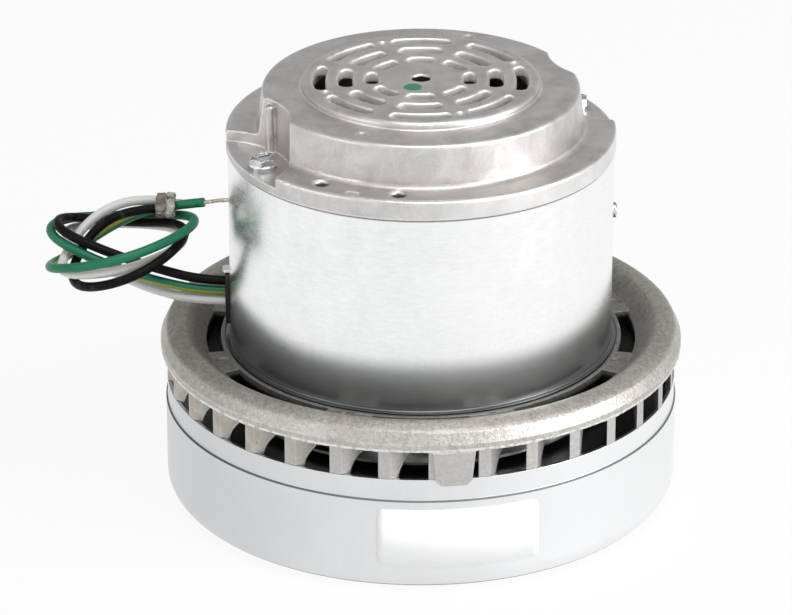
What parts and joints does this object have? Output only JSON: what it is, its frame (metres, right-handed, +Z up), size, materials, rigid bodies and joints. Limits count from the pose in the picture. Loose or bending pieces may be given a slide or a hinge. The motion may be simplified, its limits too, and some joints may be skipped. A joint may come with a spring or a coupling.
{
  "type": "vacuum motor unit",
  "caption": "Vacuum cleaner motor unit: a low fan shell, a cast ring of swept discharge vanes, a round steel motor can, a cast top bracket with a slotted grille, and loose leads.",
  "frame": {"origin": "centre of the fan shell's floor on the shaft line, at the middle of the bounding box's bottom face", "axes": "+Z up along the shaft from the fan shell to the top bracket; -X towards the lead slot; -Y towards the side in the picture"},
  "size_m": [0.2273, 0.186, 0.1548],
  "materials": {
    "shell_steel": "drawn steel, satin zinc plate",
    "sand_casting": "rough sand casting",
    "die_casting": "satin die casting with worn bright edges",
    "galvanised_steel": "galvanised sheet, semi bright",
    "fan_aluminium": "mill finish sheet",
    "zinc_steel": "bright zinc plate",
    "ground_steel": "ground and polished",
    "core_steel": "varnished laminations",
    "copper": "enamelled or turned copper",
    "brass": "drawn brass",
    "carbon": "carbon block",
    "resin": "moulded resin",
    "seal_felt": "dense felt",
    "grommet_rubber": "smooth black rubber",
    "lead_black": "black insulation, satin",
    "lead_green": "green insulation with a yellow stripe, satin",
    "lead_white": "white insulation, satin",
    "tinned_strand": "tinned copper strands",
    "tie_band": "grey brown paper band"
  },
  "bodies": {
    "housing": {"fan_shell": "shell_steel", "return_vane_plate": "fan_aluminium", "separator_plate": "shell_steel", "fan_bracket": "sand_casting", "motor_can": "galvanised_steel", "lead_grommet": "grommet_rubber", "can_screw": "zinc_steel", "top_bracket": "die_casting", "through_screws": "zinc_steel", "field_core": "core_steel", "field_coil_left": "copper", "field_coil_right": "copper", "wave_washer": "ground_steel", "air_seal": "seal_felt", "twist_tie": "tie_band", "holder_screws": "zinc_steel", "upper_bearing_outer_race": "ground_steel", "lower_bearing_outer_race": "ground_steel", "brush_tube_rear": "brass", "brush_spring_rear": "ground_steel", "brush_holder_rear": "resin", "brush_tube_front": "brass", "brush_spring_front": "ground_steel", "brush_holder_front": "resin", "lead_black": "lead_black", "lead_black_bare_end": "tinned_strand", "lead_green": "lead_green", "lead_green_bare_end": "tinned_strand", "lead_white": "lead_white", "lead_white_bare_end": "tinned_strand"},
    "rotor": {"shaft": "ground_steel", "armature_core": "core_steel", "armature_winding": "copper", "commutator_bars": "copper", "commutator_hub": "resin", "armature_sleeve": "resin", "cooling_fan": "resin", "lower_fan_back_plate": "fan_aluminium", "lower_fan_front_plate": "fan_aluminium", "lower_fan_vanes": "fan_aluminium", "upper_fan_back_plate": "fan_aluminium", "upper_fan_front_plate": "fan_aluminium", "upper_fan_vanes": "fan_aluminium", "upper_spacer": "ground_steel", "lower_spacer": "fan_aluminium", "fan_washers": "zinc_steel", "lock_nut": "zinc_steel", "upper_bearing_inner_race": "ground_steel", "lower_bearing_inner_race": "ground_steel"},
    "upper_cage": {"upper_bearing_balls": "ground_steel", "upper_bearing_cage": "brass"},
    "lower_cage": {"lower_bearing_balls": "ground_steel", "lower_bearing_cage": "brass"},
    "brush_rear": {"carbon_brush_rear": "carbon"},
    "brush_front": {"carbon_brush_front": "carbon"}
  },
  "joints": [
    {"name": "rotor_spin", "type": "hinge", "parent": "housing", "child": "rotor", "pos_m": [0, 0, 0.08], "axis": [0, 0, 1], "continuous": true},
    {"name": "upper_cage_spin", "type": "hinge", "parent": "housing", "child": "upper_cage", "pos_m": [0, 0, 0.146], "axis": [0, 0, 1], "continuous": true},
    {"name": "lower_cage_spin", "type": "hinge", "parent": "housing", "child": "lower_cage", "pos_m": [0, 0, 0.0565], "axis": [0, 0, 1], "continuous": true},
    {"name": "brush_rear_slide", "type": "slide", "parent": "housing", "child": "brush_rear", "axis": [0.342, 0.9397, 0], "range_m": [0, 0.006], "stiffness_N_per_m": 200, "springref_m": -0.008, "deforming": ["brush_spring_rear"]},
    {"name": "brush_front_slide", "type": "slide", "parent": "housing", "child": "brush_front", "axis": [-0.342, -0.9397, 0], "range_m": [0, 0.006], "stiffness_N_per_m": 200, "springref_m": -0.008, "deforming": ["brush_spring_front"]}
  ],
  "couplings": [
    {"joint": "upper_cage_spin", "follows": "rotor_spin", "ratio": 0.368},
    {"joint": "lower_cage_spin", "follows": "rotor_spin", "ratio": 0.3678}
  ]
}
